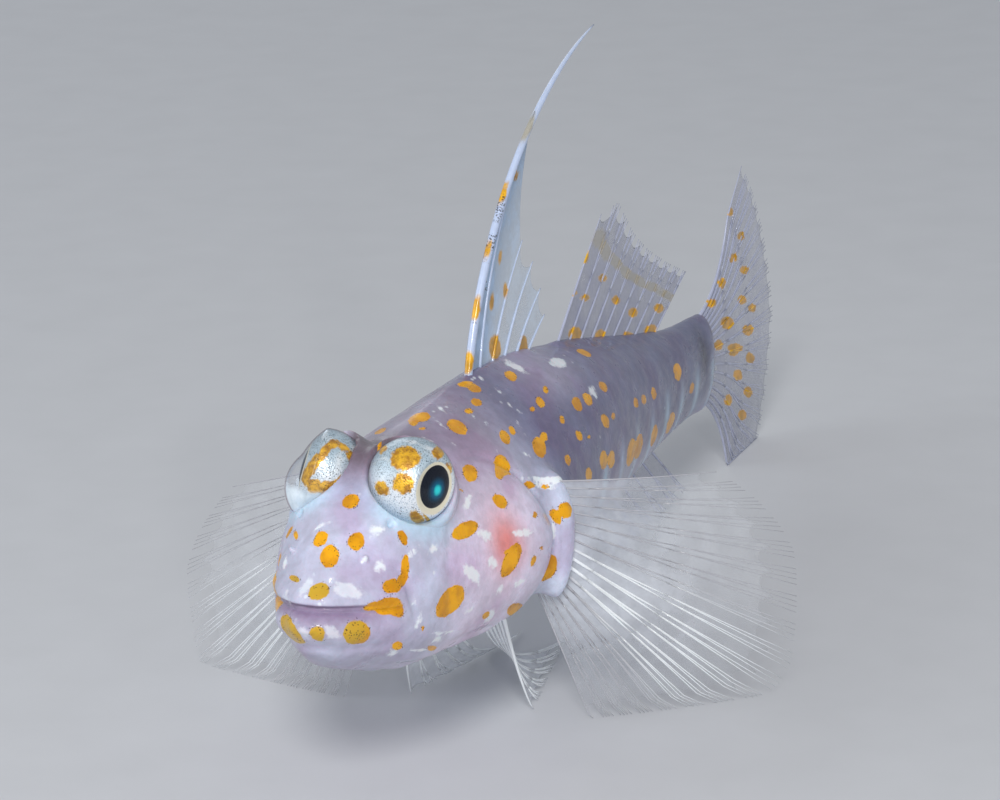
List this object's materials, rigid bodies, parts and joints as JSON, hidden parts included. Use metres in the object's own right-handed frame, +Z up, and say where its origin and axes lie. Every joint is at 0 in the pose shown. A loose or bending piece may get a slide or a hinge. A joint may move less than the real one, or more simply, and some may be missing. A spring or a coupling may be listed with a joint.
{
  "type": "inner-spotted sand goby",
  "caption": "Small bottom-living goby with raised eyes and a long first dorsal spine, propped level on its spread pectoral and pelvic fins and its tail fin.",
  "frame": {"origin": "middle of the part's outline, at the floor it rests on", "axes": "+Y runs from the snout to the tail, +X is the fish's left, +Z is up"},
  "size_m": [0.0342, 0.0718, 0.0334],
  "materials": {
    "head_skin": "wet translucent skin, orange spots",
    "jaw_skin": "wet translucent skin, orange spots",
    "gill_cover_skin": "wet translucent skin, pinkish",
    "trunk_skin": "wet translucent scaled skin",
    "tail_stalk_skin": "wet translucent scaled skin",
    "eye": "clear and glossy over a silver and gold iris",
    "spined_fin": "thin translucent membrane, yellow spots",
    "clear_fin": "thin clear membrane with pale rays"
  },
  "bodies": {
    "root": {"head": "head_skin", "lower_jaw": "jaw_skin", "gill_cover_left": "gill_cover_skin", "gill_cover_right": "gill_cover_skin", "trunk": "trunk_skin", "tail_stalk": "tail_stalk_skin", "eye_left": "eye", "eye_right": "eye", "first_dorsal_fin": "spined_fin", "first_dorsal_filament": "spined_fin", "second_dorsal_fin": "clear_fin", "anal_fin": "clear_fin", "caudal_fin": "clear_fin", "pectoral_fin_left": "clear_fin", "pectoral_fin_right": "clear_fin", "pelvic_fin_left": "clear_fin", "pelvic_fin_right": "clear_fin"}
  },
  "joints": []
}
